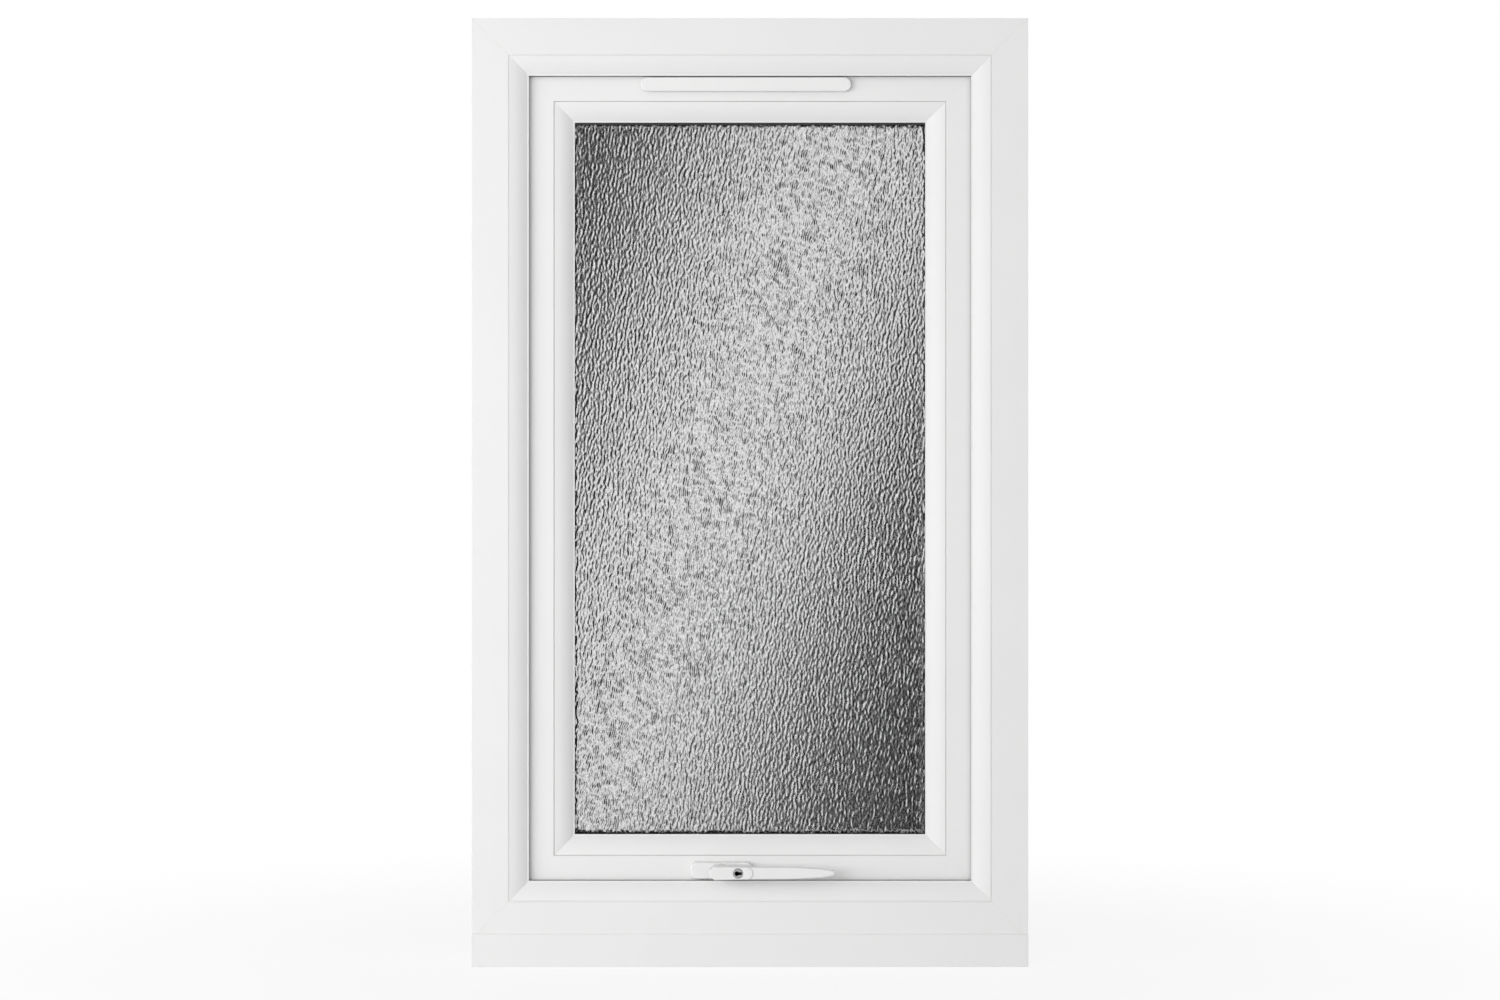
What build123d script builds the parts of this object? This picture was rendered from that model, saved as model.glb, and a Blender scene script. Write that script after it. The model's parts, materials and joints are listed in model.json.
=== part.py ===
from build123d import *
import math
import os

os.makedirs("parts", exist_ok=True)

# A top-hung casement window of hollow plastic profiles, closed. X runs across the opening,
# Y through the wall (the room is at -Y) and Z up. The origin is on the cill's underside,
# midway across and midway through the frame. All sizes are in millimetres.

# Overall
width = 556.0
height = 948.0
frame_depth = 70.0
room_y = -frame_depth / 2
outer_y = frame_depth / 2

# Cill under the frame
cill_top = 28.5
cill_lip_top = 33.0
cill_lip = 2.0
cill_front_y = room_y - 2.0
cill_rear_y = outer_y + 2.0
cill_rear_top = 24.0
cill_nose_y = 66.0
cill_nose_top = 15.0
cill_wall = 2.4
cill_webs_y = (-11.2, 13.2)
cill_nose_floor = 5.0
drip_y = (55.0, 58.5)
drip_depth = 2.2
end_cap = 1.5

# Frame profile, measured inwards from its outer edge
frame_wall = 2.8
frame_rebate = 36.0
frame_sight = 56.5
upstand_back_y = -24.0
bevel_drop = 7.0
bevel_bulge = 1.3
lip_land = 1.6
groove_in = 36.5
frame_groove = 0.7
frame_groove_depth = 0.6
chamber_webs_y = (-15.3, 15.3)
web_half = 1.3
lip_round = 0.4
upstand_wall = 2.6
steel_stop = 40.0
steel_wall = 1.5
frame_steel_at = (0.0, 16.4)
frame_steel_size = (27.4, 24.0)
seal_thickness = 1.5
seal_reach = 7.0
seal_show = 0.4
weather_seal_y = (29.0, 33.0)
weather_seal_reach = 1.5

# Sash profile, measured inwards from its own outer edge
sash_inset = 48.0
sash_room_y = -21.0
sash_wall = 2.7
sash_rebate = 33.2
sash_leg = 53.5
leg_room_y = 23.0
flange_reach = 7.5
flange_room_y = 21.0
groove_y = 5.0
groove_width = 16.4
groove_depth = 2.6
channel_width = 9.0
channel_depth = 8.0
sash_web_y = -5.9
sash_steel_at = (groove_y, 21.4)
sash_steel_size = (15.8, 17.6)

# Glazing
glass_room_y = -8.0
glass_outer_y = 20.0
pane = 4.0
glass_inset = 38.5
bead_back_y = -11.2
bead_face_y = -20.6
bead_lip_y = -12.8
bead_sight = 53.7
bead_bulge = 1.6
bead_land = 1.3
bead_gap = 0.4
bead_gap_depth = 1.6
bead_hollow_at = (-14.4, 39.7)
bead_hollow_size = (3.0, 6.5)
gasket_hidden = 46.0
gasket_recess = 1.0
gasket_show_side = 0.1
gasket_show_head = 1.9
gasket_show_bottom = 0.1
seal_width = 4.5
spacer_width = 7.0

# Friction stays: slider top, arm pivot and track pivot stand one arm length apart
arm_length = 120.0
slider_drop = 8.0
track_plate = 1.0
track_depth = 3.8
track_half_width = 11.0
track_slot = 12.0
track_lip = 0.8
arm_half_width = 7.0
arm_thickness = 2.5
bar_thickness = 2.5
washer_thickness = 0.8
rivet_radius = 3.0

# Handle and lock on the bottom rail
spindle_x = -28.5
spindle_z = 95.5
spindle_size = 7.0
plate_length = 62.5
plate_height = 17.5
plate_front_y = -30.0
lever_front_y = -56.0
grip_front_y = -54.6
grip_back_y = -46.0
head_back_y = -38.0
key_offset = 16.6
key_radius = 5.1

# Rack and pinion in the lock case
gear_module = 1.5
gear_teeth = 15
addendum = 1.2
dedendum = 1.65
pressure_angle = 20.0
tooth_thinning = 0.15
cam_places = (-150.0, 125.0)
cam_radius = 6.0
cam_neck = 3.9
rod_half_width = 4.1

# Trickle ventilator in the sash head
vent_left = -110.0
vent_right = 101.5
vent_bottom = 876.0
vent_top = 890.3
vent_front_y = -27.0
vent_wall = 1.2
vent_rear_y = -22.4
vent_hinge_y = -23.6
vent_hinge_z = 879.0
air_slot_bottom = 881.0
air_slot_top = 888.0
air_slot_length = 52.0

# Places worked out from the sizes above
half_width = width / 2
rebate_x = half_width - frame_rebate
sash_half = half_width - sash_inset
sash_bottom = cill_top + sash_inset
sash_top = height - sash_inset
slider_z = sash_top - slider_drop
arm_z = slider_z - arm_length
track_z = arm_z - arm_length
bar_x = sash_half - groove_depth + bar_thickness
arm_x = bar_x + washer_thickness + 0.2
pitch_radius = gear_module * gear_teeth / 2
rack_pitch_z = spindle_z - pitch_radius
rod_top = rack_pitch_z - dedendum
rod_bottom = 79.4
travel = pitch_radius * math.pi / 2


def sides(half, bottom, top):
    """One plane per side of a rectangle: x runs with Y, y points inwards, z runs along the side."""
    return {
        "bottom": (Plane((-half, 0, bottom), x_dir=(0, 1, 0), z_dir=(1, 0, 0)), 2 * half),
        "right": (Plane((half, 0, bottom), x_dir=(0, 1, 0), z_dir=(0, 0, 1)), top - bottom),
        "top": (Plane((half, 0, top), x_dir=(0, 1, 0), z_dir=(-1, 0, 0)), 2 * half),
        "left": (Plane((-half, 0, top), x_dir=(0, 1, 0), z_dir=(0, 0, -1)), top - bottom),
    }


def mitred(section, side, reach=0.0):
    """A profile run along one side of a rectangle, with both ends cut at forty-five degrees."""
    plane, length = side
    with BuildPart() as bar:
        with BuildSketch(plane.offset(-reach)):
            add(section)
        extrude(amount=length + 2 * reach)
        split(bisect_by=Plane(plane.origin, z_dir=plane.z_dir - plane.y_dir), keep=Keep.TOP)
        far_end = plane.origin + plane.z_dir * length
        split(bisect_by=Plane(far_end, z_dir=-plane.z_dir - plane.y_dir), keep=Keep.TOP)
    return bar.part


def ring(y_from, y_to, outer, inner):
    """A flat rectangular ring; outer and inner are (half width, bottom, top)."""
    with BuildPart() as hoop:
        with BuildSketch(Plane.XZ.offset(-y_from)):
            for (half, bottom, top), mode in ((outer, Mode.ADD), (inner, Mode.SUBTRACT)):
                with Locations((0, (bottom + top) / 2)):
                    Rectangle(2 * half, top - bottom, mode=mode)
        extrude(amount=-(y_to - y_from))
    return hoop


def block(x, y, z):
    """A box given by its (low, high) along each axis."""
    with BuildPart() as piece:
        with Locations(((x[0] + x[1]) / 2, (y[0] + y[1]) / 2, (z[0] + z[1]) / 2)):
            Box(x[1] - x[0], y[1] - y[0], z[1] - z[0])
    return piece.part


def rod_between(axis, start, end, radius):
    """A round bar parallel to X, Y or Z from start to a coordinate on that axis."""
    turn = {"X": (0, 90, 0), "Y": (90, 0, 0), "Z": (0, 0, 0)}[axis]
    index = "XYZ".index(axis)
    centre = list(start)
    centre[index] = (start[index] + end) / 2
    with BuildPart() as piece:
        with Locations(tuple(centre)):
            Cylinder(radius, abs(end - start[index]), rotation=turn)
    return piece.part


def countersunk(axis, start, end, head_radius, shank_radius, head_depth):
    """A countersunk screw whose flat head is at start and whose point is towards end."""
    index = "XYZ".index(axis)
    direction = [0, 0, 0]
    direction[index] = 1 if end > start[index] else -1
    length = abs(end - start[index])
    with BuildPart() as screw:
        with BuildSketch(Plane(start, z_dir=tuple(direction))):
            Circle(shank_radius)
        extrude(amount=length)
        with BuildSketch(Plane(start, z_dir=tuple(direction))):
            Circle(head_radius)
        taper = math.degrees(math.atan((head_radius - shank_radius) / head_depth))
        extrude(amount=head_depth, taper=taper)
        with BuildSketch(Plane(start, z_dir=tuple(direction))):
            Rectangle(head_radius * 1.1, 0.7)
            Rectangle(0.7, head_radius * 1.1)
        extrude(amount=0.6 * head_depth, mode=Mode.SUBTRACT)
    return screw.part


def group(pieces):
    """Separate solids kept together as one named piece."""
    with BuildPart() as collected:
        add(pieces)
    return collected


# Frame ---------------------------------------------------------------------------------------

def frame_section():
    """Hollow box with a bevelled upstand on the room side."""
    lip_y = room_y + bevel_drop
    bevel_start = (room_y, groove_in + frame_groove)
    bevel_end = (lip_y, frame_sight - lip_land)
    run = bevel_end[1] - bevel_start[1]
    slope = math.hypot(bevel_drop, run)
    middle = (
        room_y + bevel_drop / 2 - bevel_bulge * run / slope,
        (bevel_start[1] + bevel_end[1]) / 2 + bevel_bulge * bevel_drop / slope,
    )
    with BuildSketch() as section:
        with BuildLine():
            Polyline(
                bevel_start,
                (room_y + frame_groove_depth, bevel_start[1]),
                (room_y + frame_groove_depth, groove_in),
                (room_y, groove_in),
                (room_y, 0),
                (outer_y, 0),
                (outer_y, frame_rebate),
                (upstand_back_y, frame_rebate),
                (upstand_back_y, frame_sight),
                (lip_y, frame_sight),
                bevel_end,
            )
            ThreePointArc(bevel_end, middle, bevel_start)
        make_face()
        fillet(section.vertices().group_by(Axis.Y)[-1], radius=lip_round)
        chamber_height = frame_rebate - 2 * frame_wall
        room_web, outer_web = chamber_webs_y
        for low, high in (
            (room_y + frame_wall, room_web - web_half),
            (room_web + web_half, outer_web - web_half),
            (outer_web + web_half, outer_y - frame_wall),
        ):
            with Locations(((low + high) / 2, frame_rebate / 2)):
                Rectangle(high - low, chamber_height, mode=Mode.SUBTRACT)
        hollow_start = groove_in + 1.0
        hollow_end = frame_sight - 10.0
        with BuildLine():
            Polyline(
                (room_y + upstand_wall, hollow_start),
                (upstand_back_y - upstand_wall, hollow_start),
                (upstand_back_y - upstand_wall, hollow_end),
                (lip_y - 1.0, hollow_end),
                close=True,
            )
        make_face(mode=Mode.SUBTRACT)
    return section.sketch


def tube_section(centre, size):
    """Rectangular steel tube."""
    with BuildSketch() as section:
        with Locations(centre):
            Rectangle(size[0], size[1])
            Rectangle(size[0] - 2 * steel_wall, size[1] - 2 * steel_wall, mode=Mode.SUBTRACT)
    return section.sketch


frame_sides = sides(half_width, cill_top, height)
profile = frame_section()
fixing_y = -11.0
fixing_radius = 4.0
fixing_heights = (cill_top + 150.0, height - 150.0)

with BuildPart() as frame_head:
    add(mitred(profile, frame_sides["top"]))
frame_head.part.label = "frame_head"
export_step(frame_head.part, "parts/frame_head.step")

for name, sign in (("left", -1), ("right", 1)):
    with BuildPart() as frame_jamb:
        add(mitred(profile, frame_sides[name]))
        for z in fixing_heights:
            inner = sign * (rebate_x - 1)
            hole = rod_between("X", (inner, fixing_y, z), sign * (half_width + 1), fixing_radius)
            add(hole, mode=Mode.SUBTRACT)
    frame_jamb.part.label = f"frame_jamb_{name}"
    export_step(frame_jamb.part, f"parts/frame_jamb_{name}.step")

# Water in the rebate falls through one slot and leaves by another, lower and to one side
drain_x = 120.0
drain_z = cill_top + 8.0
drain_offset = 30.0
drain_length = 24.0
drain_height = 5.0
floor_z = cill_top + frame_rebate
with BuildPart() as frame_bottom_rail:
    add(mitred(profile, frame_sides["bottom"]))
    for x in (-drain_x, drain_x):
        outlet_x = (x - drain_length / 2, x + drain_length / 2)
        outlet_z = (drain_z - drain_height / 2, drain_z + drain_height / 2)
        add(block(outlet_x, (outer_y - 5, outer_y + 1), outlet_z), mode=Mode.SUBTRACT)
        inlet_x = (outlet_x[0] - drain_offset, outlet_x[1] - drain_offset)
        add(block(inlet_x, (24, 28), (floor_z - 5, floor_z + 1)), mode=Mode.SUBTRACT)
frame_bottom_rail.part.label = "frame_bottom_rail"
export_step(frame_bottom_rail.part, "parts/frame_bottom_rail.step")

# The steels stop short of the mitres
steel_profile = tube_section(frame_steel_at, frame_steel_size)
steels = []
for name, (plane, length) in frame_sides.items():
    with BuildPart() as steel:
        with BuildSketch(plane.offset(steel_stop)):
            add(steel_profile)
        extrude(amount=length - 2 * steel_stop)
        if name in ("left", "right"):
            sign = -1 if name == "left" else 1
            for z in fixing_heights:
                start = (sign * (rebate_x - 1), fixing_y, z)
                add(rod_between("X", start, sign * (half_width + 1), fixing_radius + 0.5), mode=Mode.SUBTRACT)
    steels.append(steel.part)
frame_reinforcements = group(steels)
frame_reinforcements.part.label = "frame_reinforcements"
export_step(frame_reinforcements.part, "parts/frame_reinforcements.step")

# Seals run round the back of the upstand and round the outer edge of the rebate
def inside_frame(inset):
    """The frame's outline drawn in by the given distance."""
    return (half_width - inset, cill_top + inset, height - inset)


frame_gasket = ring(
    upstand_back_y,
    upstand_back_y + seal_thickness,
    inside_frame(frame_sight - seal_reach),
    (half_width - frame_sight, cill_top + frame_sight + seal_show, height - frame_sight - seal_show),
)
frame_gasket.part.label = "frame_gasket"
export_step(frame_gasket.part, "parts/frame_gasket.step")

frame_weather_seal = ring(
    weather_seal_y[0],
    weather_seal_y[1],
    inside_frame(frame_rebate),
    inside_frame(frame_rebate + weather_seal_reach),
)
frame_weather_seal.part.label = "frame_weather_seal"
export_step(frame_weather_seal.part, "parts/frame_weather_seal.step")

cap_length = 36.0
cap_height = 11.0
cap_depth = 3.5
with BuildPart() as drain_caps:
    with BuildSketch(Plane.XZ.offset(-outer_y)):
        with Locations((-drain_x, drain_z), (drain_x, drain_z)):
            RectangleRounded(cap_length, cap_height, 3.0)
    extrude(amount=-cap_depth)
    fillet(drain_caps.faces().sort_by(Axis.Y)[-2:].edges(), radius=1.2)
    for x in (-drain_x, drain_x):
        mouth_x = (x - cap_length / 2 + 4, x + cap_length / 2 - 4)
        mouth_z = (drain_z - cap_height / 2 - 1.5, drain_z + cap_height / 2 - 2.5)
        add(block(mouth_x, (outer_y - 1, outer_y + 2), mouth_z), mode=Mode.SUBTRACT)
drain_caps.part.label = "drain_caps"
export_step(drain_caps.part, "parts/drain_caps.step")


# Cill ----------------------------------------------------------------------------------------

def cill_section(hollow):
    """Sloping nose outside, flat bed under the frame, and a thin lip up the room side."""
    with BuildSketch() as section:
        with BuildLine():
            Polyline(
                (cill_front_y, 0),
                (drip_y[0], 0),
                (drip_y[0], drip_depth),
                (drip_y[1], drip_depth),
                (drip_y[1], 0),
                (cill_nose_y, 0),
                (cill_nose_y, cill_nose_top),
                (cill_rear_y, cill_rear_top),
                (cill_rear_y, cill_top),
                (cill_front_y + cill_lip, cill_top),
                (cill_front_y + cill_lip, cill_lip_top),
                (cill_front_y, cill_lip_top),
                close=True,
            )
        make_face()
        nose = section.vertices().sort_by_distance((cill_nose_y, cill_nose_top))[0]
        fillet(nose, radius=3.0)
        lip_front = section.vertices().sort_by_distance((cill_front_y, cill_lip_top))[0]
        fillet(lip_front, radius=1.2)
        if hollow:
            room_web, outer_web = cill_webs_y
            half_web = cill_wall / 2
            for low, high in (
                (cill_front_y + cill_wall, room_web - half_web),
                (room_web + half_web, outer_web - half_web),
                (outer_web + half_web, cill_rear_y - cill_wall),
            ):
                with Locations(((low + high) / 2, cill_top / 2)):
                    Rectangle(high - low, cill_top - 2 * cill_wall, mode=Mode.SUBTRACT)
            nose_wall = cill_nose_y - 3.0
            with BuildLine():
                Polyline(
                    (cill_rear_y, cill_nose_floor),
                    (nose_wall, cill_nose_floor),
                    (nose_wall, cill_nose_top - 2.0),
                    (cill_rear_y, cill_rear_top - 3.0),
                    close=True,
                )
            make_face(mode=Mode.SUBTRACT)
    return section.sketch


with BuildPart() as cill:
    with BuildSketch(Plane((-half_width + end_cap, 0, 0), x_dir=(0, 1, 0), z_dir=(1, 0, 0))):
        add(cill_section(True))
    extrude(amount=width - 2 * end_cap)
cill.part.label = "cill"
export_step(cill.part, "parts/cill.step")

with BuildPart() as cill_end_caps:
    for x in (-half_width, half_width - end_cap):
        with BuildSketch(Plane((x, 0, 0), x_dir=(0, 1, 0), z_dir=(1, 0, 0))):
            add(cill_section(False))
        extrude(amount=end_cap)
cill_end_caps.part.label = "cill_end_caps"
export_step(cill_end_caps.part, "parts/cill_end_caps.step")


# Sash ----------------------------------------------------------------------------------------

def sash_section():
    """Hollow box with a hardware groove outside, a glazing leg and a weather flange."""
    groove = (groove_y - groove_width / 2, groove_y + groove_width / 2)
    channel = (groove_y - channel_width / 2, groove_y + channel_width / 2)
    with BuildSketch() as section:
        with BuildLine():
            Polyline(
                (sash_room_y, 0),
                (groove[0], 0),
                (groove[0], groove_depth),
                (channel[0], groove_depth),
                (channel[0], channel_depth),
                (channel[1], channel_depth),
                (channel[1], groove_depth),
                (groove[1], groove_depth),
                (groove[1], 0),
                (flange_room_y, 0),
                (flange_room_y, -flange_reach),
                (outer_y, -flange_reach),
                (outer_y, sash_leg),
                (leg_room_y, sash_leg),
                (leg_room_y, sash_rebate),
                (sash_room_y, sash_rebate),
                close=True,
            )
        make_face()
        for corner, radius in (
            ((sash_room_y, 0), 0.8),
            ((sash_room_y, sash_rebate), 0.5),
            ((outer_y, -flange_reach), 1.5),
            ((outer_y, sash_leg), 1.5),
        ):
            fillet(section.vertices().sort_by_distance(corner)[0], radius=radius)
        top = sash_rebate - sash_wall
        for x, y in (
            ((sash_room_y + sash_wall, sash_web_y), (sash_wall, top)),
            (groove, (channel_depth + sash_wall, top)),
            ((groove[1] + sash_wall, outer_y - sash_wall), (sash_wall, top)),
            ((flange_room_y + sash_wall, outer_y - sash_wall), (sash_wall - flange_reach, 0)),
            ((leg_room_y + sash_wall, outer_y - sash_wall), (sash_rebate, sash_leg - sash_wall)),
        ):
            with Locations(((x[0] + x[1]) / 2, (y[0] + y[1]) / 2)):
                Rectangle(x[1] - x[0], y[1] - y[0], mode=Mode.SUBTRACT)
    return section.sketch


sash_sides = sides(sash_half, sash_bottom, sash_top)
sash_profile = sash_section()
vent_centre = (vent_left + vent_right) / 2
air_slots = [vent_centre + (i - 1) * (air_slot_length + 10) for i in range(3)]

with BuildPart() as sash_head:
    add(mitred(sash_profile, sash_sides["top"], flange_reach))
    for x in air_slots:
        half = air_slot_length / 2
        slot = block((x - half, x + half), (sash_room_y - 1, outer_y + 1), (air_slot_bottom, air_slot_top))
        add(slot, mode=Mode.SUBTRACT)
sash_head.part.label = "sash_head"
export_step(sash_head.part, "parts/sash_head.step")

for name in ("left", "right"):
    with BuildPart() as sash_stile:
        add(mitred(sash_profile, sash_sides[name], flange_reach))
    sash_stile.part.label = f"sash_stile_{name}"
    export_step(sash_stile.part, f"parts/sash_stile_{name}.step")

# The bottom rail is routed for the lock case and drilled for the spindle and its screws
screw_spacing = 43.0
handle_screw_hole = 2.7
screw_places = [spindle_x - screw_spacing / 2, spindle_x + screw_spacing / 2]
case_half = 26.0
case_y = (-1.0, 11.0)
case_top = spindle_z + 10.5
with BuildPart() as sash_bottom_rail:
    add(mitred(sash_profile, sash_sides["bottom"], flange_reach))
    rout = block(
        (spindle_x - case_half - 9, spindle_x + case_half + 5),
        (case_y[0] - 0.5, case_y[1] + 0.5),
        (sash_bottom + groove_depth, case_top + 0.5),
    )
    add(rout, mode=Mode.SUBTRACT)
    add(rod_between("Y", (spindle_x, sash_room_y - 1, spindle_z), case_y[0], 6.0), mode=Mode.SUBTRACT)
    for x in screw_places:
        hole = rod_between("Y", (x, sash_room_y - 1, spindle_z), case_y[0], handle_screw_hole)
        add(hole, mode=Mode.SUBTRACT)
sash_bottom_rail.part.label = "sash_bottom_rail"
export_step(sash_bottom_rail.part, "parts/sash_bottom_rail.step")

sash_steel = tube_section(sash_steel_at, sash_steel_size)
stile_steels = []
for name in ("left", "right"):
    plane, length = sash_sides[name]
    with BuildPart() as stile_steel:
        with BuildSketch(plane.offset(steel_stop)):
            add(sash_steel)
        extrude(amount=length - 2 * steel_stop)
    stile_steels.append(stile_steel.part)
sash_reinforcements = group(stile_steels)
sash_reinforcements.part.label = "sash_reinforcements"
export_step(sash_reinforcements.part, "parts/sash_reinforcements.step")


# Glazing -------------------------------------------------------------------------------------

def bead_section():
    """Snap-in bead: a rounded face falls to a narrow lip at the glass, with a joint at the sash."""
    start = (bead_face_y, sash_rebate + bead_gap)
    end = (bead_lip_y, bead_sight - bead_land)
    joint_y = bead_face_y + bead_gap_depth
    run = end[1] - start[1]
    drop = end[0] - start[0]
    slope = math.hypot(run, drop)
    middle = (
        (start[0] + end[0]) / 2 - bead_bulge * run / slope,
        (start[1] + end[1]) / 2 + bead_bulge * drop / slope,
    )
    with BuildSketch() as section:
        with BuildLine():
            Polyline(
                start,
                (joint_y, start[1]),
                (joint_y, sash_rebate),
                (bead_back_y, sash_rebate),
                (bead_back_y, bead_sight),
                (bead_lip_y, bead_sight),
                end,
            )
            ThreePointArc(end, middle, start)
        make_face()
        fillet(section.vertices().sort_by_distance((bead_lip_y, bead_sight))[0], radius=lip_round)
        with Locations(bead_hollow_at):
            Rectangle(*bead_hollow_size, mode=Mode.SUBTRACT)
    return section.sketch


bead_profile = bead_section()
for name, side in sash_sides.items():
    with BuildPart() as bead:
        add(mitred(bead_profile, side))
    bead.part.label = f"bead_{name}"
    export_step(bead.part, f"parts/bead_{name}.step")



def inside_sash(inset):
    """The sash's outline drawn in by the given distance."""
    return (sash_half - inset, sash_bottom + inset, sash_top - inset)


hidden_rim = inside_sash(gasket_hidden)
bead_gasket = ring(
    bead_back_y,
    glass_room_y,
    hidden_rim,
    (
        sash_half - bead_sight - gasket_show_side,
        sash_bottom + bead_sight + gasket_show_bottom,
        sash_top - bead_sight - gasket_show_head,
    ),
)
bead_gasket.part.label = "bead_gasket"
export_step(bead_gasket.part, "parts/bead_gasket.step")

glazing_gasket = ring(glass_outer_y, leg_room_y, hidden_rim, inside_sash(sash_leg - gasket_recess))
glazing_gasket.part.label = "glazing_gasket"
export_step(glazing_gasket.part, "parts/glazing_gasket.step")

glass_half, glass_bottom, glass_top = inside_sash(glass_inset)
for name, y_from in (("inner", glass_room_y), ("outer", glass_outer_y - pane)):
    with BuildPart() as glass:
        add(block((-glass_half, glass_half), (y_from, y_from + pane), (glass_bottom, glass_top)))
    glass.part.label = f"glass_{name}"
    export_step(glass.part, f"parts/glass_{name}.step")


cavity = (glass_room_y + pane, glass_outer_y - pane)
seal_inset = glass_inset + seal_width
edge_seal = ring(cavity[0], cavity[1], inside_sash(glass_inset + 0.5), inside_sash(seal_inset))
edge_seal.part.label = "edge_seal"
export_step(edge_seal.part, "parts/edge_seal.step")

spacer_bar = ring(cavity[0], cavity[1], inside_sash(seal_inset), inside_sash(seal_inset + spacer_width))
spacer_bar.part.label = "spacer_bar"
export_step(spacer_bar.part, "parts/spacer_bar.step")

# Packers fill the gap between the glass edge and the sash rebate
packer = 5.0
packer_half = 30.0
packer_x = 120.0
packer_inset = 110.0
packer_y = (glass_room_y, glass_outer_y)
with BuildPart() as glazing_packers:
    for x in (-packer_x, packer_x):
        for z in (glass_bottom - packer, glass_top):
            add(block((x - packer_half, x + packer_half), packer_y, (z, z + packer)))
    for x in (-glass_half - packer, glass_half):
        for z in (glass_bottom + packer_inset, glass_top - packer_inset):
            add(block((x, x + packer), packer_y, (z - packer_half, z + packer_half)))
glazing_packers.part.label = "glazing_packers"
export_step(glazing_packers.part, "parts/glazing_packers.step")


# Friction stays ------------------------------------------------------------------------------

def slotted_channel(x_face, sign, z_from, z_to):
    """Track with two inturned lips, lying on the rebate floor and open towards the sash."""
    inner = track_half_width - track_plate
    with BuildPart() as channel:
        with BuildSketch(Plane((x_face, groove_y, z_from), x_dir=(-sign, 0, 0), z_dir=(0, 0, 1))):
            with Locations((track_depth / 2, 0)):
                Rectangle(track_depth, 2 * track_half_width)
            with Locations((track_plate + (track_depth - track_lip - track_plate) / 2, 0)):
                Rectangle(track_depth - track_lip - track_plate, 2 * inner, mode=Mode.SUBTRACT)
            with Locations((track_depth, 0)):
                Rectangle(2 * track_lip + 0.2, track_slot, mode=Mode.SUBTRACT)
        extrude(amount=z_to - z_from)
    return channel.part


track_range = (track_z - 30, slider_z + 16)
track_screws_z = [track_z + rise for rise in (-20, 24, 88, 144)]
bar_screws_z = [slider_z - fall for fall in (232, 180, 60)]
bar_length = 238.0
bar_width = 15.8
screw_hole = 3.7
screw_head = 3.6
screw_shank = 1.9
pivot_clearance = 0.06
open_pivot_clearance = 0.3
shoe_half = 12.0
shoe_plate = (rebate_x - track_depth + track_lip + 0.3, rebate_x - track_plate - 0.3)
post_radius = 5.5
track_screws = []
bar_screws = []
rivets = []
posts = []
washers = []

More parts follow.
